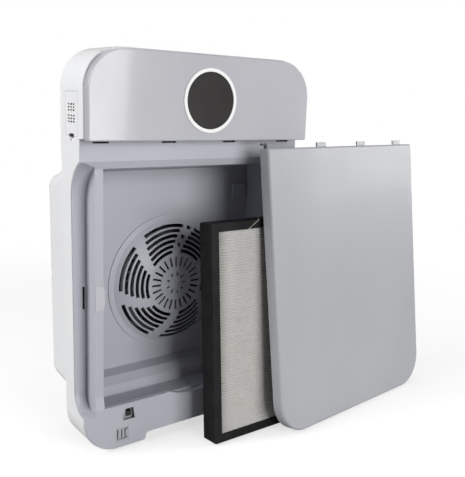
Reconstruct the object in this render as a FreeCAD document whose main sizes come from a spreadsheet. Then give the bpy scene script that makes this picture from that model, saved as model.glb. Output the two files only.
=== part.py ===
"""Compact room air purifier, standing with its filter and front cover taken out.

Frame: millimetres, X to the viewer's right, Y towards the back, Z up.  The origin is
on the floor under the middle of the housing.  A depth is a distance behind the front
face of the head, and at_depth() turns it into Y.
"""
import math
import os

import FreeCAD
import Part

os.makedirs("parts", exist_ok=True)
doc = FreeCAD.newDocument("purifier")
V = FreeCAD.Vector

DIMENSIONS = {
    "housing_width": 353.0,
    "housing_height": 541.0,
    "housing_depth": 138.0,
    "side_taper": 2.8,
    "corner_radius": 50.0,
    "foot_height": 1.5,
    "foot_inner": 80.0,
    "arch_height": 12.5,
    "slim_depth": 81.0,
    "shell_front": 26.0,
    "head_front": 14.2,
    "wall": 3.0,
    "bulge_bottom": 79.0,
    "bulge_top": 391.0,
    "bulge_rear_radius": 18.0,
    "head_bottom": 427.0,
    "head_top": 538.3,
    "head_width": 352.0,
    "head_wall": 2.6,
    "flange_depth": 14.0,
    "display_height": 480.0,
    "lens_radius": 37.6,
    "ring_radius": 42.2,
    "block_top": 57.6,
    "lip_height": 65.0,
    "bay_width": 287.0,
    "bay_top": 391.0,
    "bay_floor": 61.0,
    "post_width": 12.0,
    "slot_pitch": 99.4,
    "slot_width": 22.0,
    "fan_height": 210.0,
    "guard_radius": 102.0,
    "guard_rise": 20.0,
    "guard_slot_radius": 88.0,
    "guard_slot_pitch": 7.3,
    "guard_slot_width": 4.9,
    "hub_slot_radius": 41.0,
    "impeller_radius": 80.0,
    "motor_radius": 24.0,
    "shaft_radius": 3.0,
    "running_clearance": 0.05,
    "filter_width": 285.0,
    "filter_height": 315.0,
    "filter_thick": 28.5,
    "filter_bar": 12.0,
    "pleat_pitch": 4.0,
    "cover_height": 419.5,
    "cover_depth": 17.5,
    "cover_wall": 2.6,
    "tab_height": 7.5,
}
FILTER_CORNER = V(-6.0, -44.5, 0.0)
FILTER_LEAN = 4.7
COVER_CORNER = V(85.5, -87.0, 0.0)
COVER_LEAN = 8.0
COVER_YAW = 5.4

sheet = doc.addObject("Spreadsheet::Sheet", "Dims")
for row, (alias, number) in enumerate(DIMENSIONS.items(), start=1):
    sheet.set(f"A{row}", alias)
    sheet.set(f"B{row}", str(number))
    sheet.setAlias(f"B{row}", alias)
doc.recompute()


def dim(alias):
    """The value of a driving dimension."""
    return float(sheet.get(alias))


HALF = dim("housing_width") / 2
HALF_DEPTH = dim("housing_depth") / 2
BAY = dim("bay_width") / 2
POST = BAY + dim("post_width")
HEAD_BOTTOM = dim("head_bottom")
LOW_HALF = HALF - dim("side_taper")
FAN = dim("fan_height")
nodes = []


def at_depth(depth):
    """Y of a point this far behind the front face of the head."""
    return depth - HALF_DEPTH


def side_at(height):
    """Half width of the tapering side wall at a height."""
    if height >= HEAD_BOTTOM:
        return HALF
    share = (HEAD_BOTTOM - height) / (HEAD_BOTTOM - dim("corner_radius"))
    return HALF - dim("side_taper") * min(1.0, share)


# ---------------------------------------------------------------- sketch outlines
def rounded(corners):
    """Closed outline through (u, v, radius) corners, as lines and tangent arcs."""
    cuts = []
    count = len(corners)
    for index, (u, v, radius) in enumerate(corners):
        point = V(u, v, 0)
        before = V(*corners[index - 1][:2], 0) - point
        after = V(*corners[(index + 1) % count][:2], 0) - point
        before.normalize()
        after.normalize()
        if radius == 0:
            cuts.append((point, None, point))
            continue
        half_angle = before.getAngle(after) / 2
        reach = radius / math.tan(half_angle)
        inward = before + after
        inward.normalize()
        middle = point + inward * (radius / math.sin(half_angle) - radius)
        cuts.append((point + before * reach, middle, point + after * reach))
    geometry = []
    for index, (start, middle, end) in enumerate(cuts):
        if middle is not None:
            geometry.append(Part.Arc(start, middle, end))
        following = cuts[(index + 1) % count][0]
        if (following - end).Length > 1e-6:
            geometry.append(Part.LineSegment(end, following))
    return geometry


def rectangle(u0, v0, u1, v1, radius=0.0):
    """Axis-aligned rectangle outline."""
    return rounded([(u0, v0, radius), (u1, v0, radius), (u1, v1, radius), (u0, v1, radius)])


def circle(u, v, radius):
    """Circle outline."""
    return [Part.Circle(V(u, v, 0), V(0, 0, 1), radius)]


def ring_slot(inner, outer, start, end):
    """Closed slot between two radii and two angles in degrees."""
    def spot(radius, angle):
        turn = math.radians(angle)
        return V(radius * math.cos(turn), radius * math.sin(turn), 0)

    middle = (start + end) / 2
    return [
        Part.Arc(spot(outer, start), spot(outer, middle), spot(outer, end)),
        Part.LineSegment(spot(outer, end), spot(inner, end)),
        Part.Arc(spot(inner, end), spot(inner, middle), spot(inner, start)),
        Part.LineSegment(spot(inner, start), spot(outer, start)),
    ]


# ------------------------------------------------------------- PartDesign helpers
def new_body(label, placement=None):
    """A PartDesign body that becomes one node."""
    body = doc.addObject("PartDesign::Body", label)
    body.Label = label
    if placement is not None:
        body.Placement = placement
    nodes.append(body)
    return body


def origin_part(body, role):
    """One of the body's own origin planes or axes."""
    for feature in body.Origin.OriginFeatures:
        if feature.Role == role:
            return feature
    raise ValueError(role)


def sketch(body, plane, offset, geometry):
    """Sketch on an origin plane moved along its normal."""
    made = body.newObject("Sketcher::SketchObject", "Sketch")
    made.AttachmentSupport = (origin_part(body, plane), [""])
    made.MapMode = "FlatFace"
    made.AttachmentOffset = FreeCAD.Placement(V(0, 0, offset), FreeCAD.Rotation())
    made.addGeometry(geometry, False)
    return made


def extrude(body, kind, profile, length, towards_normal=True, midplane=False):
    """Pad or pocket a sketch.  Length is a number or a spreadsheet expression."""
    made = body.newObject(f"PartDesign::{kind}", kind)
    made.Profile = profile
    made.Midplane = midplane
    # A pad grows along the sketch normal and a pocket cuts against it.
    made.Reversed = towards_normal if kind == "Pocket" else not towards_normal
    if isinstance(length, str):
        made.setExpression("Length", length)
    else:
        made.Length = length
    profile.Visibility = False
    doc.recompute()
    return made


def front_sketch(body, y, geometry):
    """Sketch facing the viewer at this Y."""
    return sketch(body, "XZ_Plane", -y, geometry)


def pad_back(body, y, geometry, length):
    """Pad from this Y towards the back."""
    return extrude(body, "Pad", front_sketch(body, y, geometry), length, False)


def cut_back(body, y, geometry, length):
    """Pocket from this Y towards the back."""
    return extrude(body, "Pocket", front_sketch(body, y, geometry), length, False)


def cut_across(body, geometry, length):
    """Pocket a side profile, in (Y, Z), equally to both sides of X = 0."""
    profile = sketch(body, "YZ_Plane", 0, geometry)
    return extrude(body, "Pocket", profile, length, midplane=True)


def revolve(body, plane, geometry, role="Y_Axis"):
    """Revolve a sketch about one of the body's axes."""
    made = body.newObject("PartDesign::Revolution", "Revolution")
    made.Profile = sketch(body, plane, 0, geometry)
    made.ReferenceAxis = (origin_part(body, role), [""])
    made.Angle = 360
    doc.recompute()
    return made


def polar(body, feature, count, role="Y_Axis"):
    """Repeat a feature round one of the body's axes."""
    made = body.newObject("PartDesign::PolarPattern", "PolarPattern")
    made.Originals = [feature]
    made.Axis = (origin_part(body, role), [""])
    made.Angle = 360
    made.Occurrences = count
    body.Tip = made
    doc.recompute()
    return made


def fillet(body, radius, chosen):
    """Round the edges of the body's tip that a test picks."""
    base = body.Tip
    names = [f"Edge{i}" for i, edge in enumerate(base.Shape.Edges, start=1) if chosen(edge)]
    made = body.newObject("PartDesign::Fillet", "Fillet")
    made.Base = (base, names)
    made.Radius = radius
    doc.recompute()
    return made


def lies_at(edge, axis, value):
    """Whether both ends of an edge, and its middle, are at one coordinate."""
    low, high = edge.ParameterRange
    points = [edge.valueAt(low), edge.valueAt((low + high) / 2), edge.valueAt(high)]
    return all(abs(getattr(point, axis) - value) < 1e-4 for point in points)


# ------------------------------------------------------------- Part primitives
def box(x0, y0, z0, x1, y1, z1):
    """Box between two corners."""
    made = doc.addObject("Part::Box", "Box")
    made.Length, made.Width, made.Height = x1 - x0, y1 - y0, z1 - z0
    made.Placement.Base = V(x0, y0, z0)
    return made


def rod(x, y, z, radius, length, name="Rod"):
    """Cylinder pointing to the back from its front centre."""
    made = doc.addObject("Part::Cylinder", name)
    made.Height = length
    if isinstance(radius, str):
        made.setExpression("Radius", radius)
    else:
        made.Radius = radius
    made.Placement = FreeCAD.Placement(V(x, y, z), FreeCAD.Rotation(V(1, 0, 0), -90))
    return made


def slab(plane_y, geometry, length):
    """Front-facing outline pushed towards the back, as a plain solid."""
    made = doc.addObject("Part::Feature", "Slab")
    wire = Part.Wire(Part.__sortEdges__([item.toShape() for item in geometry]))
    solid = Part.Face(wire).extrude(V(0, 0, -length))
    solid.rotate(V(0, 0, 0), V(1, 0, 0), 90)
    solid.translate(V(0, plane_y, 0))
    made.Shape = solid
    return made


def fuse(*pieces):
    """Union of objects."""
    made = doc.addObject("Part::MultiFuse", "Union")
    made.Shapes = list(pieces)
    return made


def cut(base, *tools):
    """Base with every tool taken away."""
    made = doc.addObject("Part::Cut", "Difference")
    made.Base = base
    made.Tool = tools[0] if len(tools) == 1 else fuse(*tools)
    return made


def finish(label, piece, placement=None):
    """Name an object as a node."""
    piece.Label = label
    if placement is not None:
        piece.Placement = placement
    nodes.append(piece)
    return piece


# ------------------------------------------------------------------- white shell
def housing_outline(inset):
    """Front view of the housing, with square feet and an arch between them."""
    low = dim("foot_height") + inset
    foot = dim("foot_inner") + inset
    arch = dim("arch_height") + inset
    radius = dim("corner_radius") - inset
    half = HALF - inset
    low_half = LOW_HALF - inset
    top = dim("housing_height") - inset
    right = [
        (half, top, radius),
        (half, HEAD_BOTTOM, 0),
        (low_half, low, radius),
        (foot, low, 4),
        (foot - 2, arch, 5),
    ]
    left = [(-u, v, r) for u, v, r in reversed(right)]
    return rounded(right + left)


def head_outline(half, bottom, top, radius, bottom_radius):
    """Front view of the head."""
    corners = [(half, top, radius), (half, bottom, bottom_radius)]
    corners += [(-half, bottom, bottom_radius), (-half, top, radius)]
    return rounded(corners)


# Side profiles of the air inlet beside the filter bay, as (depth, Z): a line, an arc, a
# line, an arc and a line, from under the head down to the base.
RIM_EDGE = [(23.9, 400.5), (24.3, 399.6), (44.8, 379.5), (51.5, 352.0),
            (51.5, 92.0), (48.4, 73.0), (38.0, 61.5), (25.9, 59.5)]
RIM_ROOT = [(23.9, 400.5), (27.0, 393.0), (48.5, 371.0), (55.0, 346.0),
            (57.0, 86.0), (52.0, 66.2), (40.0, 60.0), (25.9, 57.5)]


def spread(profile, thick):
    """A rim profile moved away from its open side, with its arcs kept concentric."""
    moved = [(profile[0][0] + thick, profile[0][1] + thick)]
    for bend in (profile[1:4], profile[4:7]):
        ring = Part.Arc(*[V(depth, z, 0) for depth, z in bend]).toShape().Curve
        for depth, z in bend:
            outward = V(depth, z, 0) - ring.Center
            outward.multiply((ring.Radius + thick) / ring.Radius)
            moved.append((ring.Center.x + outward.x, ring.Center.y + outward.y))
    return moved + [(profile[7][0], profile[7][1] - thick)]


def rim_edges(points):
    """Lines and arcs through the eight points of a rim profile."""
    return [
        Part.LineSegment(points[0], points[1]), Part.Arc(*points[1:4]),
        Part.LineSegment(points[3], points[4]), Part.Arc(*points[4:7]),
        Part.LineSegment(points[6], points[7]),
    ]


def notch_outline():
    """Side view of the air inlet cut into the shell, in (Y, Z)."""
    points = [V(at_depth(depth), z, 0) for depth, z in spread(RIM_EDGE, 2.5)]
    front = at_depth(10)
    top, low = V(front, points[0].y, 0), V(front, points[7].y, 0)
    ends = [Part.LineSegment(points[7], low), Part.LineSegment(low, top)]
    return rim_edges(points) + ends + [Part.LineSegment(top, points[0])]


# X of the cover catches, (X, Z) of the housing screws, and the sensor door's two rows of vents.
CATCH = 117.3
SCREW_SPOTS = [(164.0, 70.0), (164.0, 395.8), (140.0, 480.0)]
DOOR_SLOTS_LOW = (447.6, 461.6)


def door_grip():
    """Finger notch at the foot of the sensor door, in (Y, Z)."""
    return rounded([(at_depth(41), 429.2, 1), (at_depth(51), 428.4, 1.5), (at_depth(58), 431.8, 1),
                    (at_depth(53), 434.4, 1), (at_depth(41), 434.2, 1)])


def make_rear_shell():
    """White housing: sides, top, underside and the bulged back over the fan."""
    body = new_body("rear_shell")
    pad_back(body, at_depth(26), housing_outline(0), "Dims.slim_depth - Dims.shell_front")
    head = head_outline(HALF, HEAD_BOTTOM + 2, dim("housing_height"), 50, 0)
    pad_back(body, at_depth(14.2), head, "Dims.shell_front - Dims.head_front")
    top, low = dim("bulge_top"), dim("bulge_bottom")
    bulge = [(side_at(top), top, 0), (side_at(low), low, 0)]
    bulge += [(-side_at(low), low, 0), (-side_at(top), top, 0)]
    pad_back(body, at_depth(80), rounded(bulge), "Dims.housing_depth - 80")
    rear = at_depth(dim("housing_depth"))
    step = at_depth(dim("slim_depth"))
    over = [(step, top, 0), (rear + 5, top + 1, 0), (rear + 5, 369.3, 0)]
    cut_across(body, rounded(over), 400)
    under = [(step, low, 0), (rear + 5, 86.6, 0), (rear + 5, low - 1, 0)]
    cut_across(body, rounded(under), 400)

    def slanted_side(edge):
        ends = [vertex.Point for vertex in edge.Vertexes]
        spans = len(ends) == 2 and abs(ends[0].y - ends[1].y) > 50
        return spans and max(point.y for point in ends) > rear - 1

    fillet(body, dim("bulge_rear_radius"),
           lambda edge: slanted_side(edge) or lies_at(edge, "y", rear))
    hollow_shell(body)
    return body


def hollow_shell(body):
    """Hollow the housing and cut its openings."""
    cut_back(body, at_depth(14), housing_outline(dim("wall")), "Dims.slim_depth - Dims.wall - 14")
    inner = [(at_depth(77), 388.6, 0), (at_depth(134), 367.5, 12)]
    inner += [(at_depth(134), 91, 12), (at_depth(77), 81.8, 0)]
    cut_across(body, rounded(inner), 330)
    cut_across(body, notch_outline(), 400)
    outlet = sketch(body, "XY_Plane", 550, rectangle(-120, at_depth(32), 120, at_depth(70), 2))
    extrude(body, "Pocket", outlet, 20, False)
    door = rectangle(at_depth(29.6), 431.1, at_depth(66.4), 485.9, 2.4)
    recess = sketch(body, "YZ_Plane", -180, door)
    extrude(body, "Pocket", recess, 180 - HALF + 1.7)
    window = rectangle(at_depth(35), 438, at_depth(61), 481, 2)
    for opening in (window, door_grip()):
        extrude(body, "Pocket", sketch(body, "YZ_Plane", -180, opening), 10)
    stalk = sketch(body, "YZ_Plane", -180, rectangle(at_depth(44), 424.2, at_depth(51), 430.0, 1))
    extrude(body, "Pocket", stalk, 180 - HALF + 1.3)
    cut_back(body, at_depth(70), rectangle(97, 23.8, 123, 40.2), 20)
    for x, z in SCREW_SPOTS:
        for side in (-x, x):
            cut_back(body, at_depth(70), circle(side, z, 2.1), 20)
            cut_back(body, at_depth(79.5), circle(side, z, 3.8), 4)


# ----------------------------------------------------------------- inner frame
def lower_skin():
    """Front face of the base, between and around the feet."""
    low = dim("foot_height")
    right = [
        (BAY, dim("lip_height"), 0),
        (BAY, dim("block_top"), 0),
        (POST, dim("block_top") - 0.1, 0),
        (side_at(60) - 0.2, 59.5, 0),
        (LOW_HALF - 0.2, low, dim("corner_radius")),
        (dim("foot_inner"), low, 4),
        (dim("foot_inner") - 2, dim("arch_height"), 5),
    ]
    left = [(-u, v, r) for u, v, r in reversed(right)]
    skin = slab(at_depth(24), rounded(right + left), 1.9)
    low_front = [edge for edge in skin.Shape.Edges
                 if lies_at(edge, "y", at_depth(24)) and edge.CenterOfMass.z < 57
                 and abs(edge.CenterOfMass.x) > BAY]
    skin.Shape = skin.Shape.makeFillet(1.6, low_front)
    return skin


def across(profile, half):
    """Side profile of (depth, Z) corners pushed equally to both sides of X = 0."""
    made = doc.addObject("Part::Feature", "Profile")
    corners = [V(-half, at_depth(depth), z) for depth, z in profile]
    wire = Part.makePolygon(corners + corners[:1])
    made.Shape = Part.Face(wire).extrude(V(2 * half, 0, 0))
    return made


def rim_wire(profile, x_at):
    """Closed section of the rim, 2.1 mm thick, on a plane given by X at each Z."""
    front = [V(x_at(z), at_depth(depth), z) for depth, z in profile]
    back = [V(x_at(z), at_depth(depth), z) for depth, z in spread(profile, 2.1)]
    edges = rim_edges(front) + [Part.LineSegment(front[7], back[7])]
    edges += rim_edges(back) + [Part.LineSegment(back[0], front[0])]
    return Part.Wire(Part.__sortEdges__([edge.toShape() for edge in edges]))


def make_rims():
    """The curved rims of the air inlets, from the posts out to the shell."""
    sections = [
        rim_wire(RIM_EDGE, lambda z: side_at(z) - 0.25),
        rim_wire(RIM_EDGE, lambda z: side_at(z) - 4.5),
        rim_wire(RIM_ROOT, lambda z: POST - 1),
    ]
    right = Part.makeLoft(sections, True, True)
    left = right.mirror(V(0, 0, 0), V(1, 0, 0))
    rims = []
    for shape in (right, left):
        made = doc.addObject("Part::Feature", "Rim")
        made.Shape = shape
        rims.append(made)
    return rims


def bay_solid():
    """Posts, filter bay and the wall behind it, with the ledge along its floor."""
    top, low = dim("bay_top"), dim("bay_floor")
    block = across([(24.0, 57.5), (24.4, 64), (28, 82), (28, 390.5), (23.9, 400.5),
                    (56, 400.5), (56, 55), (25.8, 55), (25.8, 57.5)], POST)
    outside = across([(56, 59), (68, 59), (70.2, 73.6), (77.4, 80.9), (78.6, 83.2), (99.5, 86.5),
                      (99.5, 379.9), (78.4, 387.4), (75.6, 393), (56, 393)], BAY + 2.3)
    inside = across([(15, low), (66, low), (68, 75), (78, 85.2), (97, 88.6),
                     (97, 379), (77.2, 386.2), (74, top), (15, top)], BAY)
    return cut(fuse(block, outside, *make_rims()), inside)


def head_carrier():
    """Band under the head, the plate behind the head panel and its shelf."""
    band = box(-side_at(415), at_depth(23), 400.5, side_at(415), at_depth(25.9), 427)
    inner = head_outline(HALF - 3.2, 400.5, 537.8, 46.8, 0)
    plate = slab(at_depth(25.8), inner, 2.6)
    shelf = box(-172, at_depth(26), 399.6, 172, at_depth(60), 402.4)
    return fuse(band, plate, shelf)


def frame_cuts():
    """Everything taken out of the inner frame, and the lip, which goes in before them."""
    tools = [rod(0, at_depth(90), FAN, 96, 20)]
    for side in (-1, 1):
        for order in (1, 3):
            x = side * order * dim("slot_pitch") / 2
            half = dim("slot_width") / 2
            tools.append(box(x - half, at_depth(22), 423.2, x + half, at_depth(30), 426.4))
        x = side * CATCH
        tools.append(box(x - 9.9, at_depth(22), 11.4, x + 9.9, at_depth(27), 31.2))
        x = side * 159.2
        tools.append(box(x - 1.9, at_depth(50), 201, x + 1.9, at_depth(61), 232))
    tools.append(box(-118, at_depth(25.9), 37, -94, at_depth(46), 57.4))
    outline = [(-113.5, 57.3, 0.5), (-117.4, 49.5, 1), (-115.5, 41.0, 1),
               (-97.6, 40.4, 1), (-100.2, 57.3, 0.5)]
    tools.append(slab(at_depth(22), rounded(outline), 5))
    lip = box(-BAY, at_depth(28), 60, BAY, at_depth(33), dim("lip_height"))
    scoop = rod(0, at_depth(15), 165, 108.2, 18)
    return tools + [scoop], lip


def make_front_frame():
    """Light grey inner frame with the filter bay."""
    tools, lip = frame_cuts()
    stop = box(114, at_depth(93), 323, 138, at_depth(97.5), 352)
    solid = cut(fuse(lower_skin(), bay_solid(), head_carrier(), lip, stop), *tools)
    bosses, pilots = [], []
    for (x, z), front in zip(SCREW_SPOTS, (52.5, 56, 28)):
        for side in (-x, x):
            bosses.append(rod(side, at_depth(front), z, 4.4, 77.9 - front))
            pilots.append(rod(side, at_depth(62), z, 1.8, 20))
    for x in (36, 124):
        for z in (455, 515):
            bosses.append(rod(x, at_depth(28), z, 3, 3))
    return finish("front_frame", cut(fuse(solid, *bosses), *pilots))


# ------------------------------------------------------------------ fan and guard
def guard_lean(radius):
    """How far round the guard's spokes have turned at a radius, in degrees."""
    return 20.0 * (dim("guard_slot_radius") - radius) / 38.0


def guard_sector(body):
    """Six curved slots of one sector, leaning round the hub as they go in."""
    geometry = []
    for step in range(6):
        outer = dim("guard_slot_radius") - dim("guard_slot_pitch") * step
        middle = 100 + guard_lean(outer)
        half = 23.0 - 0.3 * step
        geometry += ring_slot(outer - dim("guard_slot_width"), outer, middle - half, middle + half)
    return extrude(body, "Pocket", front_sketch(body, -30, geometry), 40, False)


def make_fan_guard():
    """Domed fan guard in the wall behind the filter."""
    place = FreeCAD.Placement(V(0, at_depth(97), FAN), FreeCAD.Rotation())
    body = new_body("fan_guard", place)
    rise = dim("guard_rise")
    outside = [V(-1.6, dim("guard_radius"), 0), V(-2.4, 94, 0), V(-14, 70, 0), V(-rise, 45, 0)]
    inside = [V(-rise + 2.2, 44, 0), V(-11.8, 69.2, 0), V(0, 92, 0), V(0, dim("guard_radius"), 0)]
    profile = [
        Part.LineSegment(outside[0], outside[1]),
        Part.Arc(outside[1], outside[2], outside[3]),
        Part.LineSegment(outside[3], V(-rise - 0.4, 0, 0)),
        Part.LineSegment(V(-rise - 0.4, 0, 0), V(-rise + 1.8, 0, 0)),
        Part.LineSegment(V(-rise + 1.8, 0, 0), inside[0]),
        Part.Arc(*inside[:3]),
        Part.LineSegment(inside[2], inside[3]),
        Part.LineSegment(inside[3], outside[0]),
    ]
    revolve(body, "YZ_Plane", profile)
    polar(body, guard_sector(body), 6)
    hub = dim("hub_slot_radius")
    spoke = front_sketch(body, -30, rectangle(26, -1.5, hub, 1.5))
    polar(body, extrude(body, "Pocket", spoke, 40, False), 24)
    dash = front_sketch(body, -30, rectangle(11.5, -1.2, 16.5, 1.2))
    polar(body, extrude(body, "Pocket", dash, 40, False), 9)
    for radius in (58, 70, 85):
        middle = 68.5 + guard_lean(radius)
        outline = ring_slot(radius - 2.6, radius + 2.6, middle - 2.6, middle + 2.6)
        small = front_sketch(body, -30, outline)
        extrude(body, "Pocket", small, 40, False)
    return body


def make_impeller():
    """Centrifugal wheel with a cupped hub over the motor."""
    place = FreeCAD.Placement(V(0, at_depth(100), FAN), FreeCAD.Rotation())
    body = new_body("impeller", place)
    shaft = dim("shaft_radius")
    rim = dim("impeller_radius")
    wheel = [(1.5, shaft), (1.5, 8), (4, 8.5), (4, 31), (24, 31.5), (24, rim - 1)]
    wheel += [(26, rim), (26, 28.5), (6.5, 28.5), (6.5, 8), (7.5, 7.5), (7.5, shaft)]
    revolve(body, "YZ_Plane", rounded([(y, r, 0) for y, r in wheel]))
    turn = math.radians(9)
    tip = (rim - 2) * math.cos(turn), (rim - 2) * math.sin(turn)
    blade = [(60, 0, 0), (tip[0], tip[1], 0), (tip[0] - 0.4, tip[1] + 1.5, 0), (59.8, 1.5, 0)]
    polar(body, pad_back(body, 3, rounded(blade), 21.5), 32)
    shroud = [(1.8, rim - 8, 0), (1.8, rim, 0), (3.6, rim, 0), (3.6, rim - 8, 0)]
    revolve(body, "YZ_Plane", rounded(shroud))
    return body


def make_drive():
    """Motor, its shaft, the nut, the fixing screws and the scroll round the wheel."""
    can = rod(0, at_depth(112), FAN, "Dims.motor_radius", 19.9, "Can")
    flange = rod(0, at_depth(129.9), FAN, 30, 2)
    nose = rod(0, at_depth(108.5), FAN, 8, 4)
    bore = rod(0, at_depth(100), FAN, "Dims.shaft_radius + Dims.running_clearance", 31, "Bore")
    holes, shanks, floor_holes = [], [], []
    for step in range(3):
        turn = math.radians(90 + 120 * step)
        x, z = 27 * math.cos(turn), FAN + 27 * math.sin(turn)
        holes.append(rod(x, at_depth(129), z, 1.5, 4))
        floor_holes.append(rod(x, at_depth(131), z, 1.5, 4))
        shanks.append(rod(x, at_depth(129.8), z, 1.4, 3.7))
        shanks.append(rod(x, at_depth(128), z, 2.5, 1.9))
    finish("motor", cut(fuse(can, flange, nose), bore, *holes))
    finish("motor_screws", fuse(*shanks))
    shaft = rod(0, at_depth(96), FAN, "Dims.shaft_radius", 34, "Shaft")
    finish("motor_shaft", shaft)
    hexagon = [(6.2 * math.cos(math.radians(60 * k)), FAN + 6.2 * math.sin(math.radians(60 * k)), 0)
               for k in range(6)]
    nut = cut(slab(at_depth(98), rounded(hexagon), 3.5), rod(0, at_depth(97), FAN, 3.0, 6))
    finish("impeller_nut", nut)

    def cup(half, top):
        arc = Part.Arc(V(-half, FAN, 0), V(0, FAN - half, 0), V(half, FAN, 0))
        lines = [V(half, FAN, 0), V(half, top, 0), V(-half, top, 0), V(-half, FAN, 0)]
        return [arc] + [Part.LineSegment(lines[k], lines[k + 1]) for k in range(3)]

    outside = slab(at_depth(99.5), cup(106, 350), 34)
    inside = slab(at_depth(98), cup(104, 354), 33.9)
    finish("fan_scroll", cut(outside, inside, *floor_holes))


# -------------------------------------------------------------------- head parts
def make_head_panel():
    """Silver front of the head."""
    body = new_body("head_panel")
    half = dim("head_width") / 2
    outline = head_outline(half, 427.2, dim("head_top"), 50, 2.5)
    pad_back(body, at_depth(0), outline, "Dims.flange_depth")
    pad_back(body, at_depth(11.5), head_outline(176.3, 427.2, 540.7, 50, 2.5), 2.5)
    fillet(body, 1.8, lambda edge: lies_at(edge, "y", at_depth(0)))
    wall = dim("head_wall")
    inner = head_outline(half - wall, 427.2 + wall, dim("head_top") - wall, 50 - wall, 1)
    cut_back(body, at_depth(wall), inner, 20)
    underside = rectangle(-half + 6, 427.2, half - 6, 427.2 + wall)
    pad_back(body, at_depth(12), underside, 10.9)
    hole = front_sketch(body, at_depth(-5), circle(0, dim("display_height"), dim("ring_radius") + 0.15))
    extrude(body, "Pocket", hole, 15, False)
    return body


def make_display():
    """White ring, dark lens and the board behind them."""
    z = dim("display_height")
    tube = rod(0, at_depth(-0.8), z, "Dims.ring_radius", 4.8, "Tube")
    collar = rod(0, at_depth(2.6), z, 46, 1.4)
    bore = rod(0, at_depth(-2), z, "Dims.lens_radius + 0.1", 8, "Sight")
    finish("display_ring", cut(fuse(tube, collar), bore))
    lens = rod(0, at_depth(0.3), z, "Dims.lens_radius", 3.7, "Lens")
    finish("display_lens", lens)
    board = rod(0, at_depth(4), z, 44, 1.6)
    plug = box(-9, at_depth(5.6), z - 22, 9, at_depth(10), z - 16)
    chip = box(-5, at_depth(5.6), z - 5, 5, at_depth(7), z + 5)
    legs = [rod(x, at_depth(5.5), z + dz, 3, 20.3) for x, dz in ((-36, 0), (36, 0), (0, 36))]
    finish("display_board", fuse(board, plug, chip, *legs))


def make_top_grille():
    """Outlet grille in the top."""
    body = new_body("top_grille")
    low = sketch(body, "XY_Plane", 535.9, rectangle(-124, at_depth(29), 124, at_depth(73), 3))
    extrude(body, "Pad", low, 2.1)
    high = rectangle(-119.8, at_depth(32.2), 119.8, at_depth(69.8), 2)
    extrude(body, "Pad", sketch(body, "XY_Plane", 537.9, high), 3.0)
    slot = sketch(body, "XY_Plane", 545, rectangle(-115, at_depth(36), -109, at_depth(66), 2.8))
    first = extrude(body, "Pocket", slot, 20, False)
    row_of = body.newObject("PartDesign::LinearPattern", "LinearPattern")
    row_of.Originals = [first]
    row_of.Direction = (origin_part(body, "X_Axis"), [""])
    row_of.Length = 224
    row_of.Occurrences = 23
    body.Tip = row_of
    doc.recompute()
    return body


def make_sensor_parts():
    """Dust sensor in the left of the head and the cover over it."""
    body = new_body("sensor_door")
    plate = rectangle(at_depth(30), 431.5, at_depth(66), 485.5, 2)
    extrude(body, "Pad", sketch(body, "YZ_Plane", -HALF, plate), 1.6)
    for low in DOOR_SLOTS_LOW:
        for column in range(3):
            for line in range(3):
                y = at_depth(38.5 + 7.4 * column)
                z = low + 3.7 * line
                slot = rectangle(y, z, y + 4.6, z + 2.2, 0.6)
                extrude(body, "Pocket", sketch(body, "YZ_Plane", -180, slot), 8)
    extrude(body, "Pocket", sketch(body, "YZ_Plane", -180, door_grip()), 8)
    case = box(-HALF + 3.2, at_depth(34), 441, -150, at_depth(62), 483)
    inlet = box(-175, at_depth(40), 446, -156, at_depth(56), 457)
    exhaust = box(-175, at_depth(40), 461, -156, at_depth(56), 472)
    finish("sensor_module", cut(case, inlet, exhaust))


# ------------------------------------------------------------- boards and hardware
def make_boards():
    """Control board behind the head and supply board in the base."""
    pcb = box(30, at_depth(31), 449, 130, at_depth(32.6), 521)
    relay = box(44, at_depth(32.6), 458, 70, at_depth(48), 478)
    chip = box(84, at_depth(32.6), 482, 100, at_depth(34.4), 498)
    plug = box(60, at_depth(32.6), 508, 96, at_depth(41), 515)
    caps = [rod(x, at_depth(32.6), 466, 5, 16) for x in (86, 100, 114)]
    finish("main_board", fuse(pcb, relay, chip, plug, *caps))
    pcb = box(-60, at_depth(57), 20, 60, at_depth(58.6), 57)
    coil = box(-50, at_depth(58.6), 28, -18, at_depth(74), 52)
    choke = box(22, at_depth(58.6), 30, 40, at_depth(72), 50)
    caps = [rod(x, at_depth(58.6), 40, 6, 15) for x in (-6, 8)]
    finish("supply_board", fuse(pcb, coil, choke, *caps))


def make_inlet():
    """Mains inlet socket in the lower right of the back."""
    flange = box(94, at_depth(81), 21, 126, at_depth(82.6), 43)
    case = box(97.1, at_depth(60), 23.9, 122.9, at_depth(81.5), 40.1)
    hollow = box(101, at_depth(64), 27.5, 119, at_depth(84), 36.5)
    pins = [rod(x, at_depth(63), 32, 1.2, 15) for x in (106, 114)]
    finish("power_inlet", fuse(cut(fuse(flange, case), hollow), *pins))


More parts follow.
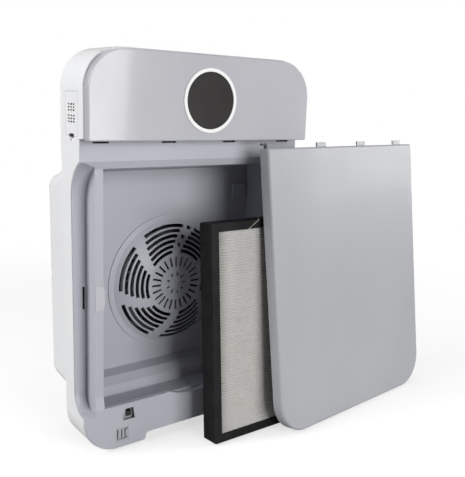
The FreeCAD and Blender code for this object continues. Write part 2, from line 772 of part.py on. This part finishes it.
def make_hardware():
    """Screws, pads, clips, catches and the cover interlock."""
    screws = []
    for x, z in SCREW_SPOTS:
        for side in (-x, x):
            screws.append(rod(side, at_depth(79.5), z, 3.4, 1.4))
            screws.append(rod(side, at_depth(64), z, 1.7, 15.6))
    finish("shell_screws", fuse(*screws))
    pads = [box(x, at_depth(d), 0, x + 30, at_depth(d + 12), 1.5)
            for x in (-119, 89) for d in (31, 63)]
    finish("foot_pads", fuse(*pads))
    clips, catches = [], []
    for side in (-1, 1):
        inner, outer = sorted((side * BAY, side * (POST - 0.6)))
        clips.append(box(inner, at_depth(26.4), 205, outer, at_depth(28), 238))
        hook = sorted((side * (BAY - 1.8), side * BAY))
        clips.append(box(hook[0], at_depth(26.4), 210, hook[1], at_depth(33), 233))
        x = side * CATCH
        frame = fuse(box(x - 9.7, at_depth(24), 11.6, x + 9.7, at_depth(30), 31),
                     box(x - 11.5, at_depth(26), 10.2, x + 11.5, at_depth(27.4), 33))
        slots = [box(x + shift - 0.9, at_depth(23), 14, x + shift + 0.9, at_depth(29), 28.8)
                 for shift in (-7.1, -0.9, 4.3)]
        slots += [box(x + 4.3, at_depth(23), z, x + 8.4, at_depth(29), z + 1.7) for z in (14, 27.1)]
        slots.append(box(x - 7.1, at_depth(23), 13.4, x + 4.3, at_depth(26), 14.6))
        catches.append(cut(frame, *slots))
    finish("filter_clips", fuse(*clips))
    finish("cover_catches", fuse(*catches))
    switch = box(-117.6, at_depth(31), 37.4, -94.5, at_depth(45), 57)
    throat = box(-108.5, at_depth(29), 43, -100.8, at_depth(43), 54.6)
    finish("interlock_switch", cut(switch, throat))
    plunger = box(-108.1, at_depth(28.6), 43.4, -101.2, at_depth(38.5), 50.6)
    finish("interlock_plunger", plunger)


# ------------------------------------------------------------------------- filter
def filter_place():
    """Where the filter stands: upright apart from a slight lean to the back."""
    lift = dim("filter_thick") * math.sin(math.radians(FILTER_LEAN)) + 0.16
    corner = V(FILTER_CORNER.x, at_depth(FILTER_CORNER.y), lift)
    return FreeCAD.Placement(corner, FreeCAD.Rotation(V(1, 0, 0), -FILTER_LEAN))


def pleat_outline():
    """Zigzag section of the filter paper in (Y, Z)."""
    low = dim("filter_bar")
    count = int((dim("filter_height") - 2 * low) / dim("pleat_pitch"))
    pitch = (dim("filter_height") - 2 * low) / count
    front, rear, body_depth = 3.0, 25.0, 10.0
    near, far = [], []
    for step in range(2 * count + 1):
        z = low + pitch * step / 2
        folded_back = step % 2 == 1
        near.append(V(rear - body_depth if folded_back else front, z, 0))
        far.append(V(rear if folded_back else front + body_depth, z, 0))
    points = near + far[::-1]
    return [Part.LineSegment(points[k - 1], points[k]) for k in range(len(points))]


def make_filter():
    """Cardboard-framed pleated filter, its foam seal and pull strip."""
    place = filter_place()
    width, height = dim("filter_width"), dim("filter_height")
    thick, bar = dim("filter_thick"), dim("filter_bar")
    body = new_body("filter_frame", place)
    pad_back(body, 0, rectangle(0, 0, width, height, 1.5), "Dims.filter_thick")
    window = rectangle(bar, bar, width - bar, height - bar)
    cut_back(body, -1, window, thick + 2)
    paper = new_body("filter_media", place)
    section = sketch(paper, "YZ_Plane", bar, pleat_outline())
    extrude(paper, "Pad", section, "Dims.filter_width - 2 * Dims.filter_bar")
    seal = new_body("filter_seal", place)
    pad_back(seal, thick, rectangle(1.5, 1.5, width - 1.5, height - 1.5, 1.5), 2)
    cut_back(seal, thick - 1, rectangle(9, 9, width - 9, height - 9, 1), 4)
    strip = new_body("filter_pull", place)
    over = [(82, 0, 0), (84.4, 0, 0), (104.4, thick, 0), (102, thick, 0)]
    extrude(strip, "Pad", sketch(strip, "XY_Plane", height, rounded(over)), 0.7)
    down = [(62, height - bar, 0), (64.4, height - bar, 0),
            (84.4, height + 0.7, 0), (82, height + 0.7, 0)]
    pad_back(strip, -0.7, rounded(down), 0.7)


# -------------------------------------------------------------------- front cover
def cover_place():
    """Where the cover stands: turned a little and leaning back."""
    lift = dim("cover_depth") * math.sin(math.radians(COVER_LEAN)) + 0.4
    corner = V(COVER_CORNER.x, at_depth(COVER_CORNER.y), lift)
    lean = FreeCAD.Rotation(V(1, 0, 0), -COVER_LEAN)
    yaw = FreeCAD.Rotation(V(0, 0, 1), COVER_YAW)
    return FreeCAD.Placement(corner, yaw.multiply(lean))


def cover_outline(inset):
    """Front view of the cover in its own frame."""
    width, height = dim("housing_width"), dim("cover_height")
    low = max(dim("corner_radius") - inset, 1)
    return rounded([(inset, height - inset, 3 if inset == 0 else 1),
                    (inset, inset, low),
                    (width - inset, inset, low),
                    (width - inset, height - inset, 3 if inset == 0 else 1)])


def make_cover():
    """Front cover with its upper tabs, lower hooks and stiffening ribs."""
    body = new_body("front_cover", cover_place())
    wall, height = dim("cover_wall"), dim("cover_height")
    middle = dim("housing_width") / 2
    pad_back(body, 0, cover_outline(0), "Dims.cover_depth")
    fillet(body, 3.6, lambda edge: lies_at(edge, "y", 0))
    cut_back(body, wall, cover_outline(wall), 30)
    for order in (-1, 1, 3):
        x = middle + order * dim("slot_pitch") / 2
        tab = rectangle(x - 10.4, height - 5, x + 10.4, height + dim("tab_height"))
        pad_back(body, 11.5, tab, 2.4)
    for side in (-1, 1):
        x = middle + side * CATCH
        pad_back(body, wall - 0.2, rectangle(x - 5, 12, x + 5, 22), 20)
        pad_back(body, wall - 0.2, rectangle(x - 0.9, 30, x + 0.9, height - 30), 3.5)
    pad_back(body, wall - 0.2, rectangle(middle - 106, 44, middle - 102, 50), 17)
    for z in (120, 210, 300):
        pad_back(body, wall - 0.2, rectangle(wall, z - 0.9, 2 * middle - wall, z + 0.9), 3.5)


make_rear_shell()
make_front_frame()
make_fan_guard()
make_impeller()
make_drive()
make_head_panel()
make_display()
make_top_grille()
make_sensor_parts()
make_boards()
make_inlet()
make_hardware()
make_filter()
make_cover()
doc.recompute()

for item in doc.Objects:
    if "Invalid" in item.State or "Error" in item.State:
        raise RuntimeError(f"{item.Label}: {item.State}")
for node in nodes:
    shape = node.Shape
    if shape.isNull() or not shape.isValid() or shape.Volume <= 0:
        raise RuntimeError(f"bad shape in {node.Label}")
    shape.exportStep(f"parts/{node.Label}.step")
    print(f"{node.Label}: {len(shape.Solids)} solid(s), {shape.Volume / 1000:.1f} cm3")
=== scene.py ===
"""Room air purifier, opened, with its filter and front cover standing in front.

Lengths are in metres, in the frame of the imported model: X to the right of someone
facing the display, Y towards the back, Z up.
"""
import math

import bmesh
import bpy
from mathutils import Matrix, Vector

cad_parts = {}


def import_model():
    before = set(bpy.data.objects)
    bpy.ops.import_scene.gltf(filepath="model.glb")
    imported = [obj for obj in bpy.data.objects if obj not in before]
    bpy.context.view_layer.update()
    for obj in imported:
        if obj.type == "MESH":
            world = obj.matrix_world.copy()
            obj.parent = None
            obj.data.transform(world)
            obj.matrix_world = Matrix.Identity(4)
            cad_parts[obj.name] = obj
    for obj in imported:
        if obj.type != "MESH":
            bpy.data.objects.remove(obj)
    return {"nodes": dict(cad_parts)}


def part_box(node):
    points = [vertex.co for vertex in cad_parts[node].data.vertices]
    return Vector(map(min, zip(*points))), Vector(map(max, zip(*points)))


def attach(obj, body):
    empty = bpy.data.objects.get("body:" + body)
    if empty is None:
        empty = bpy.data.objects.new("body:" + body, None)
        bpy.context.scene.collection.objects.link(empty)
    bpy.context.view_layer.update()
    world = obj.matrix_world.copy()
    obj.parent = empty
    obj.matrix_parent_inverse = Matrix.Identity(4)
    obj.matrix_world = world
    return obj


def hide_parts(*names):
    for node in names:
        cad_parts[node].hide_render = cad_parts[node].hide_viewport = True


MM = 0.001

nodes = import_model()["nodes"]
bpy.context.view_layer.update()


# ------------------------------------------------------------------ node helpers
def new_material(name):
    """Empty node material with its shader."""
    made = bpy.data.materials.new(name)
    made.use_nodes = True
    tree = made.node_tree
    tree.nodes.clear()
    output = tree.nodes.new("ShaderNodeOutputMaterial")
    shader = tree.nodes.new("ShaderNodeBsdfPrincipled")
    tree.links.new(shader.outputs["BSDF"], output.inputs["Surface"])
    return made, tree, shader


def add(tree, kind, **settings):
    """New node with some of its properties and inputs set."""
    node = tree.nodes.new(kind)
    for key, value in settings.items():
        if hasattr(node, key):
            setattr(node, key, value)
        else:
            node.inputs[key.replace("_", " ")].default_value = value
    return node


def noise(tree, scale, detail=3.0, stretch=None):
    """Noise in object space, stretched if asked."""
    place = add(tree, "ShaderNodeTexCoord").outputs["Object"]
    if stretch is not None:
        mapping = add(tree, "ShaderNodeMapping")
        mapping.inputs["Scale"].default_value = stretch
        tree.links.new(place, mapping.inputs["Vector"])
        place = mapping.outputs["Vector"]
    made = add(tree, "ShaderNodeTexNoise", Scale=scale, Detail=detail)
    tree.links.new(place, made.inputs["Vector"])
    return made.outputs["Fac"]


def ranged(tree, value, low, high, start=0.3, stop=0.7):
    """Value remapped to a range."""
    made = add(tree, "ShaderNodeMapRange")
    made.inputs["From Min"].default_value = start
    made.inputs["From Max"].default_value = stop
    made.inputs["To Min"].default_value = low
    made.inputs["To Max"].default_value = high
    tree.links.new(value, made.inputs["Value"])
    return made.outputs["Result"]


def mixed(tree, share, first, second):
    """Colour between two colours."""
    made = add(tree, "ShaderNodeMix", data_type="RGBA")
    tree.links.new(share, made.inputs[0])
    for socket, colour in ((made.inputs[6], first), (made.inputs[7], second)):
        if isinstance(colour, bpy.types.NodeSocket):
            tree.links.new(colour, socket)
        else:
            socket.default_value = (*colour, 1.0)
    return made.outputs[2]


def bumped(tree, shader, height, distance, strength=1.0, below=None):
    """Bump from a height, on top of another bump if given."""
    made = add(tree, "ShaderNodeBump", Strength=strength, Distance=distance)
    tree.links.new(height, made.inputs["Height"])
    if below is not None:
        tree.links.new(below, made.inputs["Normal"])
    tree.links.new(made.outputs["Normal"], shader.inputs["Normal"])
    return made.outputs["Normal"]


def tinted(colour, factor):
    """Colour with its brightness scaled."""
    return tuple(channel * factor for channel in colour)


def plastic(name, colour, rough, grain=2600.0, depth=0.00002, spread=0.035,
            coat=0.0, worn=0.05):
    """Moulded plastic: fine grain, slow flow marks and edges rubbed a little lighter."""
    made, tree, shader = new_material(name)
    flow = noise(tree, 9.0, 4.0, (1.0, 1.0, 0.45))
    base = mixed(tree, ranged(tree, flow, 0.0, 1.0),
                 tinted(colour, 1 - spread), tinted(colour, 1 + spread))
    edge = add(tree, "ShaderNodeNewGeometry").outputs["Pointiness"]
    rubbed = ranged(tree, edge, 0.0, worn, 0.505, 0.56)
    light = tuple(min(1.0, channel * 1.25 + 0.02) for channel in colour)
    base = mixed(tree, rubbed, base, light)
    tree.links.new(base, shader.inputs["Base Color"])
    smudge = noise(tree, 22.0, 5.0)
    tree.links.new(ranged(tree, smudge, rough - 0.035, rough + 0.045), shader.inputs["Roughness"])
    if coat:
        shader.inputs["Coat Weight"].default_value = coat
        shader.inputs["Coat Roughness"].default_value = 0.06
    slow = bumped(tree, shader, noise(tree, 14.0, 2.0), 0.00006, 0.6)
    bumped(tree, shader, noise(tree, grain, 2.0), depth, 1.0, slow)
    return made


def steel(name, colour, rough, stretch):
    """Drawn or turned steel with fine lines."""
    made, tree, shader = new_material(name)
    lines = noise(tree, 900.0, 2.0, stretch)
    tone = mixed(tree, ranged(tree, lines, 0.0, 1.0), tinted(colour, 0.8), colour)
    tree.links.new(tone, shader.inputs["Base Color"])
    shader.inputs["Metallic"].default_value = 1.0
    tree.links.new(ranged(tree, lines, rough - 0.08, rough + 0.1), shader.inputs["Roughness"])
    bumped(tree, shader, lines, 0.00002)
    return made


def rubber(name, colour):
    """Matt rubber with a pebbled skin."""
    made, tree, shader = new_material(name)
    pebbles = noise(tree, 1800.0, 4.0)
    tone = mixed(tree, ranged(tree, pebbles, 0.0, 1.0),
                 tinted(colour, 0.7), tinted(colour, 1.3))
    tree.links.new(tone, shader.inputs["Base Color"])
    tree.links.new(ranged(tree, pebbles, 0.7, 0.9), shader.inputs["Roughness"])
    bumped(tree, shader, pebbles, 0.00008)
    return made


def board(name):
    """Green circuit board with faint tracks."""
    made, tree, shader = new_material(name)
    place = add(tree, "ShaderNodeTexCoord").outputs["Object"]
    tracks = add(tree, "ShaderNodeTexBrick", Scale=160.0)
    tree.links.new(place, tracks.inputs["Vector"])
    tracks.inputs["Color1"].default_value = (0.02, 0.13, 0.05, 1)
    tracks.inputs["Color2"].default_value = (0.03, 0.17, 0.07, 1)
    tracks.inputs["Mortar"].default_value = (0.05, 0.24, 0.10, 1)
    tree.links.new(tracks.outputs["Color"], shader.inputs["Base Color"])
    tree.links.new(ranged(tree, noise(tree, 300.0), 0.3, 0.45), shader.inputs["Roughness"])
    bumped(tree, shader, tracks.outputs["Fac"], 0.00004)
    return made


def paper(name, colour):
    """Melt-blown filter paper: soft fibres and small flecks."""
    made, tree, shader = new_material(name)
    fibres = noise(tree, 1500.0, 6.0, (0.25, 1.0, 1.0))
    clouds = noise(tree, 40.0, 4.0)
    tone = mixed(tree, ranged(tree, fibres, 0.0, 1.0),
                 tinted(colour, 0.9), tinted(colour, 1.06))
    tone = mixed(tree, ranged(tree, clouds, 0.0, 0.4), tone, tinted(colour, 0.86))
    tree.links.new(tone, shader.inputs["Base Color"])
    shader.inputs["Roughness"].default_value = 0.95
    shader.inputs["Sheen Weight"].default_value = 0.15
    bumped(tree, shader, fibres, 0.00012)
    return made


def cardboard(name, colour):
    """Black coated board with a faint fibre grain and scuffed edges."""
    made, tree, shader = new_material(name)
    grain = noise(tree, 700.0, 5.0, (1.0, 1.0, 0.15))
    tone = mixed(tree, ranged(tree, grain, 0.0, 1.0),
                 tinted(colour, 0.85), tinted(colour, 1.2))
    edge = add(tree, "ShaderNodeNewGeometry").outputs["Pointiness"]
    patches = ranged(tree, noise(tree, 60.0, 4.0), 0.0, 0.5, 0.45, 0.65)
    scuffs = add(tree, "ShaderNodeMath", operation="MULTIPLY")
    tree.links.new(ranged(tree, edge, 0.0, 1.0, 0.51, 0.6), scuffs.inputs[0])
    tree.links.new(patches, scuffs.inputs[1])
    tone = mixed(tree, scuffs.outputs[0], tone, (0.02, 0.0196, 0.019))
    tree.links.new(tone, shader.inputs["Base Color"])
    tree.links.new(ranged(tree, grain, 0.55, 0.72), shader.inputs["Roughness"])
    shader.inputs["Specular IOR Level"].default_value = 0.16
    bumped(tree, shader, grain, 0.00002)
    return made


FLOOR_FADE_START = 0.45
FLOOR_FADE_END = 1.3
FLOOR_GLOW = 0.62


def floor_material():
    """Pale studio floor that fades into the white backdrop away from the object."""
    made, tree, shader = new_material("floor_pale")
    tone = mixed(tree, ranged(tree, noise(tree, 3.0), 0.0, 1.0),
                 (0.38, 0.38, 0.38), (0.40, 0.40, 0.40))
    tree.links.new(tone, shader.inputs["Base Color"])
    shader.inputs["Roughness"].default_value = 0.7
    place = add(tree, "ShaderNodeTexCoord").outputs["Object"]
    distance = add(tree, "ShaderNodeVectorMath", operation="LENGTH")
    tree.links.new(place, distance.inputs[0])
    fade = add(tree, "ShaderNodeMapRange", interpolation_type="SMOOTHSTEP")
    fade.inputs["From Min"].default_value = FLOOR_FADE_START
    fade.inputs["From Max"].default_value = FLOOR_FADE_END
    tree.links.new(distance.outputs["Value"], fade.inputs["Value"])
    seen = add(tree, "ShaderNodeLightPath").outputs["Is Camera Ray"]
    lift = add(tree, "ShaderNodeMath", operation="MULTIPLY")
    lift.inputs[1].default_value = FLOOR_GLOW
    tree.links.new(seen, lift.inputs[0])
    shader.inputs["Emission Color"].default_value = (1.0, 1.0, 1.0, 1.0)
    tree.links.new(lift.outputs[0], shader.inputs["Emission Strength"])
    clear = add(tree, "ShaderNodeBsdfTransparent")
    blend = add(tree, "ShaderNodeMixShader")
    tree.links.new(fade.outputs["Result"], blend.inputs["Fac"])
    tree.links.new(shader.outputs["BSDF"], blend.inputs[1])
    tree.links.new(clear.outputs["BSDF"], blend.inputs[2])
    output = next(node for node in tree.nodes if node.type == "OUTPUT_MATERIAL")
    tree.links.new(blend.outputs["Shader"], output.inputs["Surface"])
    return made


WHITE = plastic("white_gloss_plastic", (0.78, 0.785, 0.795), 0.36, coat=0.15)
FRAME = plastic("light_grey_plastic", (0.415, 0.425, 0.47), 0.46)
HEAD = plastic("silver_gloss_plastic", (0.45, 0.45, 0.48), 0.16,
               grain=3200.0, depth=0.000004, coat=0.35)
COVER = plastic("satin_silver_plastic", (0.335, 0.342, 0.362), 0.42, coat=0.05)
RING = plastic("ring_white_plastic", (0.86, 0.86, 0.85), 0.2, depth=0.000004, coat=0.5)
LENS = plastic("smoked_lens", (0.034, 0.032, 0.031), 0.16,
               depth=0.000003, spread=0.08, coat=0.6, worn=0.0)
BLACK = plastic("black_plastic", (0.02, 0.02, 0.022), 0.45)
CATCH = plastic("catch_plastic", (0.36, 0.37, 0.40), 0.42)
CLIP = plastic("clip_plastic", (0.47, 0.475, 0.505), 0.38)
WHEEL = plastic("impeller_plastic", (0.055, 0.058, 0.064), 0.5)
STEEL = steel("zinc_steel", (0.62, 0.62, 0.63), 0.34, (1.0, 1.0, 1.0))
MOTOR = steel("motor_steel", (0.5, 0.5, 0.51), 0.4, (1.0, 0.05, 1.0))
PAD = rubber("pad_rubber", (0.035, 0.035, 0.037))
FOAM = rubber("foam_rubber", (0.05, 0.05, 0.052))
BOARD = board("circuit_board")
PAPER = paper("filter_paper", (0.50, 0.49, 0.468))
CARD = cardboard("black_card", (0.0075, 0.0075, 0.0078))
STRIP = paper("pull_tape", (0.46, 0.44, 0.40))

NODE_MATERIALS = {
    "rear_shell": WHITE, "front_frame": FRAME, "fan_guard": FRAME, "impeller": WHEEL,
    "motor": MOTOR, "motor_screws": STEEL, "motor_shaft": STEEL, "impeller_nut": STEEL,
    "fan_scroll": FRAME, "head_panel": HEAD, "display_ring": RING, "display_lens": LENS,
    "display_board": BOARD, "top_grille": FRAME, "sensor_door": WHITE, "sensor_module": BLACK,
    "main_board": BOARD, "supply_board": BOARD, "power_inlet": BLACK, "shell_screws": STEEL,
    "foot_pads": PAD, "filter_clips": CLIP, "cover_catches": CATCH, "interlock_switch": CATCH,
    "interlock_plunger": BLACK, "filter_frame": CARD, "filter_media": PAPER, "filter_seal": FOAM,
    "filter_pull": STRIP, "front_cover": COVER,
}
for node_name, material in NODE_MATERIALS.items():
    mesh = nodes[node_name].data
    mesh.materials.clear()
    mesh.materials.append(material)


# ------------------------------------------------------------------ detail pieces
FILTER_LEAN = math.radians(4.7)
FILTER_THICK = 28.5 * MM
FILTER_BAR = 12.0 * MM
PLEAT_PITCH = 4.0 * MM
PLEAT_CREST = 2.2 * MM
PLEAT_FOLD = 1.6 * MM
PLEAT_DRIFT = 0.07 * MM
THREAD_RADIUS = 0.45 * MM
THREAD_GAP = 0.5 * MM
THREAD_START = 63.0 * MM
THREAD_BEND = 83.0 * MM
THREAD_END = 103.0 * MM
COVER_LEAN = math.radians(8.0)
COVER_YAW = math.radians(5.4)
COVER_THICK = 17.5 * MM
COVER_HEIGHT = 419.5 * MM
# Place and size of the black piece that paints the shadow at the cover's upper left corner.
CORNER_SHADOW_DEPTH = 11.0 * MM
CORNER_SHADOW_THICK = 3.4 * MM
CORNER_SHADOW_EDGE = 0.4 * MM


def filter_size():
    """Width and height of the filter, measured along its leaning face."""
    low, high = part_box("filter_frame")
    height = (high[2] - low[2] - FILTER_THICK * math.sin(FILTER_LEAN)) / math.cos(FILTER_LEAN)
    return high[0] - low[0], height


def standing_filter():
    """The filter's own frame: X across, Y through it and Z up its leaning face."""
    low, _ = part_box("filter_frame")
    corner = Vector((low[0], low[1], low[2] + FILTER_THICK * math.sin(FILTER_LEAN)))
    return Matrix.Translation(corner) @ Matrix.Rotation(-FILTER_LEAN, 4, "X")


def standing_cover():
    """The front cover's own frame, set out in the same way."""
    low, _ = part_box("front_cover")
    swing = COVER_THICK * math.cos(COVER_LEAN) + COVER_HEIGHT * math.sin(COVER_LEAN)
    corner = Vector((low[0] + swing * math.sin(COVER_YAW), low[1],
                     low[2] + COVER_THICK * math.sin(COVER_LEAN)))
    turn = Matrix.Rotation(COVER_YAW, 4, "Z") @ Matrix.Rotation(-COVER_LEAN, 4, "X")
    return Matrix.Translation(corner) @ turn


def piece_from(name, mesh_data, place, material, smooth=True):
    """Object from a bmesh, with its points moved into the room."""
    mesh = bpy.data.meshes.new(name)
    mesh_data.transform(place)
    bmesh.ops.recalc_face_normals(mesh_data, faces=mesh_data.faces)
    mesh_data.to_mesh(mesh)
    mesh_data.free()
    for face in mesh.polygons:
        face.use_smooth = smooth
    made = bpy.data.objects.new(name, mesh)
    bpy.context.scene.collection.objects.link(made)
    mesh.materials.append(material)
    return made


def pleat_depth(share):
    """How deep the paper's face lies at a share of one pleat: round crests, narrow folds."""
    fold = 0.5 - 0.5 * math.cos(2 * math.pi * share)
    return PLEAT_CREST + PLEAT_FOLD * fold ** 5


def make_pleats():
    """Pleated filter paper, folded on both faces, with slightly uneven folds."""
    width, height = filter_size()
    steps, columns = 8, 12
    rows = steps * round((height - 2 * FILTER_BAR) / PLEAT_PITCH)
    mesh_data = bmesh.new()
    grid = {}

    def quad(*corners):
        mesh_data.faces.new([grid[corner] for corner in corners])

    for side in (0, 1):
        for row in range(rows + 1):
            for column in range(columns + 1):
                drift = PLEAT_DRIFT * math.sin(9.0 * column + 1.7 * (row // steps))
                depth = pleat_depth(row / steps) + drift
                across = FILTER_BAR + (width - 2 * FILTER_BAR) * column / columns
                through = FILTER_THICK - depth if side else depth
                up = FILTER_BAR + (height - 2 * FILTER_BAR) * row / rows
                if 0 < row < rows:
                    up += 0.4 * drift
                grid[side, row, column] = mesh_data.verts.new((across, through, up))
        for row in range(rows):
            for column in range(columns):
                quad((side, row, column), (side, row, column + 1),
                     (side, row + 1, column + 1), (side, row + 1, column))
    for row in range(rows):
        for column in (0, columns):
            quad((0, row, column), (0, row + 1, column), (1, row + 1, column), (1, row, column))
    for column in range(columns):
        for row in (0, rows):
            quad((0, row, column), (0, row, column + 1), (1, row, column + 1), (1, row, column))
    made = piece_from("filter_pleats", mesh_data, standing_filter(), PAPER)
    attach(made, "filter")
    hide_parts("filter_media")


def make_thread():
    """Thin pull thread, drawn over the filter's top edge."""
    _, height = filter_size()
    front, top = -THREAD_GAP, height + THREAD_GAP
    line = [(THREAD_START, front, height - FILTER_BAR),
            ((THREAD_START + THREAD_BEND) / 2, front, height - FILTER_BAR / 2),
            (THREAD_BEND - 1 * MM, front, height - 0.3 * MM),
            (THREAD_BEND, 0, top),
            ((THREAD_BEND + THREAD_END) / 2, FILTER_THICK / 2, top),
            (THREAD_END, FILTER_THICK, top)]
    sides = 8
    mesh_data = bmesh.new()
    rings = []
    for index, point in enumerate(line):
        before = Vector(line[max(index - 1, 0)])
        after = Vector(line[min(index + 1, len(line) - 1)])
        turn = (after - before).to_track_quat("Z", "Y")
        ring = []
        for corner in range(sides):
            angle = 2 * math.pi * corner / sides
            spot = THREAD_RADIUS * Vector((math.cos(angle), math.sin(angle), 0))
            ring.append(mesh_data.verts.new(Vector(point) + turn @ spot))
        rings.append(ring)
    for first, second in zip(rings, rings[1:]):
        for corner in range(sides):
            following = (corner + 1) % sides
            mesh_data.faces.new((first[corner], first[following],
                                 second[following], second[corner]))
    mesh_data.faces.new(rings[0])
    mesh_data.faces.new(rings[-1])
    made = piece_from("pull_thread", mesh_data, standing_filter(), STRIP)
    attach(made, "filter")
    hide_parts("filter_pull")


def make_corner_shadow_piece():
    """Small dark bent piece at the cover's upper left corner: painted shadow, a black shape set
    where the cover's corner casts shade.
    """
    outline = [(7.5, -3), (12, -3), (12.5, 5.5), (10, 7.2), (0.8, 7.2), (0.8, 4.4), (8.2, 4.2)]
    mesh_data = bmesh.new()
    front = [mesh_data.verts.new((across * MM, CORNER_SHADOW_DEPTH, COVER_HEIGHT + up * MM))
             for across, up in outline]
    face = mesh_data.faces.new(front)
    grown = bmesh.ops.extrude_face_region(mesh_data, geom=[face])
    moved = [item for item in grown["geom"] if isinstance(item, bmesh.types.BMVert)]
    bmesh.ops.translate(mesh_data, verts=moved, vec=(0, CORNER_SHADOW_THICK, 0))
    bmesh.ops.bevel(mesh_data, geom=list(mesh_data.edges), offset=CORNER_SHADOW_EDGE,
                    segments=2, affect="EDGES")
    # Black material here is painted shadow, not a real part.
    made = piece_from("cover_corner_shadow", mesh_data, standing_cover(), BLACK, smooth=False)
    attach(made, "cover")


make_pleats()
make_thread()
make_corner_shadow_piece()


# ------------------------------------------------------------------------- stage
FLOOR_DROP = 0.2 * MM
AMBIENT = 0.13


def make_stage():
    """Pale floor and white backdrop."""
    mesh = bpy.data.meshes.new("floor")
    mesh.from_pydata([(-6, -6, 0), (6, -6, 0), (6, 8, 0), (-6, 8, 0)], [], [(0, 1, 2, 3)])
    floor = bpy.data.objects.new("floor", mesh)
    bpy.context.scene.collection.objects.link(floor)
    floor.location.z = -FLOOR_DROP
    floor.data.materials.append(floor_material())
    world = bpy.data.worlds.new("studio")
    bpy.context.scene.world = world
    world.use_nodes = True
    tree = world.node_tree
    ambient = tree.nodes["Background"]
    ambient.inputs["Color"].default_value = (1.0, 1.0, 1.0, 1.0)
    ambient.inputs["Strength"].default_value = AMBIENT
    backdrop = add(tree, "ShaderNodeBackground", Color=(1.0, 1.0, 1.0, 1.0), Strength=1.0)
    chooser = add(tree, "ShaderNodeMixShader")
    seen = add(tree, "ShaderNodeLightPath").outputs["Is Camera Ray"]
    tree.links.new(seen, chooser.inputs["Fac"])
    tree.links.new(ambient.outputs["Background"], chooser.inputs[1])
    tree.links.new(backdrop.outputs["Background"], chooser.inputs[2])
    tree.links.new(chooser.outputs["Shader"], tree.nodes["World Output"].inputs["Surface"])
    bpy.context.scene.view_settings.view_transform = "Standard"


# Place, point aimed at, width and height, and watts of each soft light.
LIGHTS = {
    "front_soft": ((0.26, -2.0, 0.66), (0.05, 0.0, 0.3), (1.28, 1.3), 33),
    "right_soft": ((1.95, -0.95, 0.85), (0.0, -0.05, 0.25), (0.7, 0.9), 19),
    "side_soft": ((-1.9, 0.3, 1.25), (-0.17, 0.05, 0.38), (1.0, 1.0), 41),
    "top_soft": ((0.1, 0.35, 2.0), (0.0, 0.0, 0.2), (1.6, 1.6), 10),
}


def area_light(name, place, target, size, power):
    """Rectangular soft light aimed at a point."""
    data = bpy.data.lights.new(name, "AREA")
    data.shape = "RECTANGLE"
    data.size, data.size_y = size
    data.energy = power
    lamp = bpy.data.objects.new(name, data)
    bpy.context.scene.collection.objects.link(lamp)
    lamp.location = place
    lamp.rotation_mode = "QUATERNION"
    lamp.rotation_quaternion = (Vector(target) - Vector(place)).to_track_quat("-Z", "Y")


CAMERA_PLACE = Vector((-0.5240, -0.8101, 0.4827))
CAMERA_YAW = 0.6547
CAMERA_PITCH = 0.2051
CAMERA_ROLL = -0.0375
CAMERA_LENS = 51.7
CAMERA_SENSOR = 36.0


def make_camera():
    """Camera at the purifier's left front, level with its head and tilted down."""
    data = bpy.data.cameras.new("camera")
    data.sensor_fit = "HORIZONTAL"
    data.sensor_width = CAMERA_SENSOR
    data.lens = CAMERA_LENS
    camera = bpy.data.objects.new("camera", data)
    bpy.context.scene.collection.objects.link(camera)
    level = Vector((math.sin(CAMERA_YAW), math.cos(CAMERA_YAW), 0))
    right = Vector((math.cos(CAMERA_YAW), -math.sin(CAMERA_YAW), 0))
    ahead = level * math.cos(CAMERA_PITCH) - Vector((0, 0, math.sin(CAMERA_PITCH)))
    up = right.cross(ahead)
    across = right * math.cos(CAMERA_ROLL) - up * math.sin(CAMERA_ROLL)
    above = right * math.sin(CAMERA_ROLL) + up * math.cos(CAMERA_ROLL)
    turn = Matrix((across, above, -ahead)).transposed().to_4x4()
    camera.matrix_world = Matrix.Translation(CAMERA_PLACE) @ turn
    bpy.context.scene.camera = camera


make_stage()
make_camera()
for light_name, light in LIGHTS.items():
    area_light(light_name, *light)
